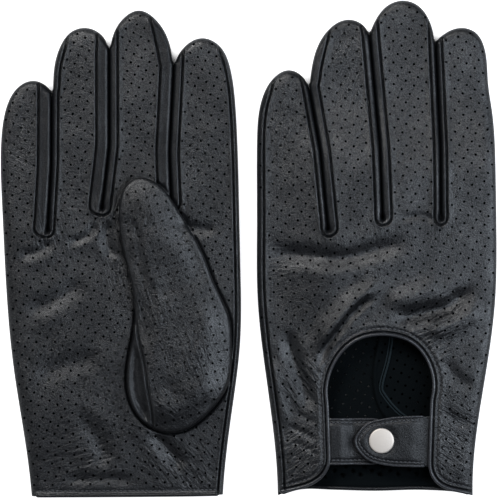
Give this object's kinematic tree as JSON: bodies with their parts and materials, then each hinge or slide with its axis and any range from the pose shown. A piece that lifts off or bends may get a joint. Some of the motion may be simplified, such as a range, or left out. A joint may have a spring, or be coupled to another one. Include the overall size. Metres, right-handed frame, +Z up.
{
  "type": "leather driving gloves",
  "caption": "Pair of short perforated leather driving gloves lying flat, with keyhole backs and a snap strap at each wrist.",
  "frame": {"origin": "on the surface the pair lies on, under the middle of the pair's bounding box", "axes": "+Z up, +Y towards the fingertips, +X from the right-hand glove to the left-hand glove"},
  "size_m": [0.2473, 0.2473, 0.0207],
  "materials": {
    "perforated_leather": "satin",
    "smooth_leather": "satin",
    "thread": "matte",
    "snap_metal": "satin"
  },
  "bodies": {
    "right_glove": {"right_palm_panel": "perforated_leather", "right_back_panel": "perforated_leather", "right_fourchette_roots": "smooth_leather", "right_thumb_root": "perforated_leather", "right_thumb_gusset": "smooth_leather", "right_keyhole_binding": "smooth_leather", "right_cuff_binding": "smooth_leather", "right_cap_tab_root": "smooth_leather", "right_stud_tab": "smooth_leather", "right_snap_stud": "snap_metal", "right_snap_post": "snap_metal", "right_edge_stitching": "thread"},
    "right_pinky": {"right_pinky_front": "perforated_leather", "right_pinky_back": "perforated_leather", "right_pinky_fourchette": "smooth_leather"},
    "right_ring": {"right_ring_front": "perforated_leather", "right_ring_back": "perforated_leather", "right_ring_fourchettes": "smooth_leather"},
    "right_middle": {"right_middle_front": "perforated_leather", "right_middle_back": "perforated_leather", "right_middle_fourchettes": "smooth_leather"},
    "right_index": {"right_index_front": "perforated_leather", "right_index_back": "perforated_leather", "right_index_fourchette": "smooth_leather"},
    "right_thumb": {"right_thumb_front": "perforated_leather", "right_thumb_back": "perforated_leather"},
    "right_strap": {"right_cap_tab": "smooth_leather", "right_snap_cap": "snap_metal", "right_snap_socket": "snap_metal", "right_cap_tab_stitching": "thread"},
    "left_glove": {"left_palm_panel": "perforated_leather", "left_back_panel": "perforated_leather", "left_fourchette_roots": "smooth_leather", "left_thumb_root": "perforated_leather", "left_thumb_gusset": "smooth_leather", "left_keyhole_binding": "smooth_leather", "left_cuff_binding": "smooth_leather", "left_cap_tab_root": "smooth_leather", "left_stud_tab": "smooth_leather", "left_snap_stud": "snap_metal", "left_snap_post": "snap_metal", "left_edge_stitching": "thread"},
    "left_pinky": {"left_pinky_front": "perforated_leather", "left_pinky_back": "perforated_leather", "left_pinky_fourchette": "smooth_leather"},
    "left_ring": {"left_ring_front": "perforated_leather", "left_ring_back": "perforated_leather", "left_ring_fourchettes": "smooth_leather"},
    "left_middle": {"left_middle_front": "perforated_leather", "left_middle_back": "perforated_leather", "left_middle_fourchettes": "smooth_leather"},
    "left_index": {"left_index_front": "perforated_leather", "left_index_back": "perforated_leather", "left_index_fourchette": "smooth_leather"},
    "left_thumb": {"left_thumb_front": "perforated_leather", "left_thumb_back": "perforated_leather"},
    "left_strap": {"left_cap_tab": "smooth_leather", "left_snap_cap": "snap_metal", "left_snap_socket": "snap_metal", "left_cap_tab_stitching": "thread"}
  },
  "joints": [
    {"name": "right_pinky_bend", "type": "hinge", "parent": "right_glove", "child": "right_pinky", "pos_m": [-0.1107, 0.04615, 0.012], "axis": [1, 0, 0], "range_deg": [0, 90]},
    {"name": "right_ring_bend", "type": "hinge", "parent": "right_glove", "child": "right_ring", "pos_m": [-0.0837, 0.06115, 0.012], "axis": [1, 0, 0], "range_deg": [0, 90]},
    {"name": "right_middle_bend", "type": "hinge", "parent": "right_glove", "child": "right_middle", "pos_m": [-0.0537, 0.06915, 0.012], "axis": [1, 0, 0], "range_deg": [0, 90]},
    {"name": "right_index_bend", "type": "hinge", "parent": "right_glove", "child": "right_index", "pos_m": [-0.0227, 0.05915, 0.012], "axis": [1, 0, 0], "range_deg": [0, 90]},
    {"name": "right_thumb_lift", "type": "hinge", "parent": "right_glove", "child": "right_thumb", "pos_m": [-0.0407, -0.03385, 0.0207], "axis": [1, 0, 0], "range_deg": [0, 75]},
    {"name": "right_strap_open", "type": "hinge", "parent": "right_glove", "child": "right_strap", "pos_m": [-0.0334, -0.09585, 0], "axis": [0, -1, 0], "range_deg": [0, 150]},
    {"name": "left_pinky_bend", "type": "hinge", "parent": "left_glove", "child": "left_pinky", "pos_m": [0.01955, 0.05115, 0.0052], "axis": [-0.9962, -0.0872, 0], "range_deg": [0, 90]},
    {"name": "left_ring_bend", "type": "hinge", "parent": "left_glove", "child": "left_ring", "pos_m": [0.04955, 0.06615, 0.0052], "axis": [-0.9962, -0.0872, 0], "range_deg": [0, 90]},
    {"name": "left_middle_bend", "type": "hinge", "parent": "left_glove", "child": "left_middle", "pos_m": [0.07905, 0.07415, 0.0052], "axis": [-0.9962, -0.0872, 0], "range_deg": [0, 90]},
    {"name": "left_index_bend", "type": "hinge", "parent": "left_glove", "child": "left_index", "pos_m": [0.10855, 0.06415, 0.0052], "axis": [-0.9962, -0.0872, 0], "range_deg": [0, 90]},
    {"name": "left_thumb_lift", "type": "hinge", "parent": "left_glove", "child": "left_thumb", "pos_m": [0.08305, -0.03385, 0], "axis": [-1, 0, 0], "range_deg": [0, 75]},
    {"name": "left_strap_open", "type": "hinge", "parent": "left_glove", "child": "left_strap", "pos_m": [0.09035, -0.09585, 0.0172], "axis": [0, 1, 0], "range_deg": [0, 150]},
    {"name": "gloves_apart", "type": "slide", "parent": "right_glove", "child": "left_glove", "axis": [1, 0, 0], "range_m": [0, 0.15]}
  ]
}
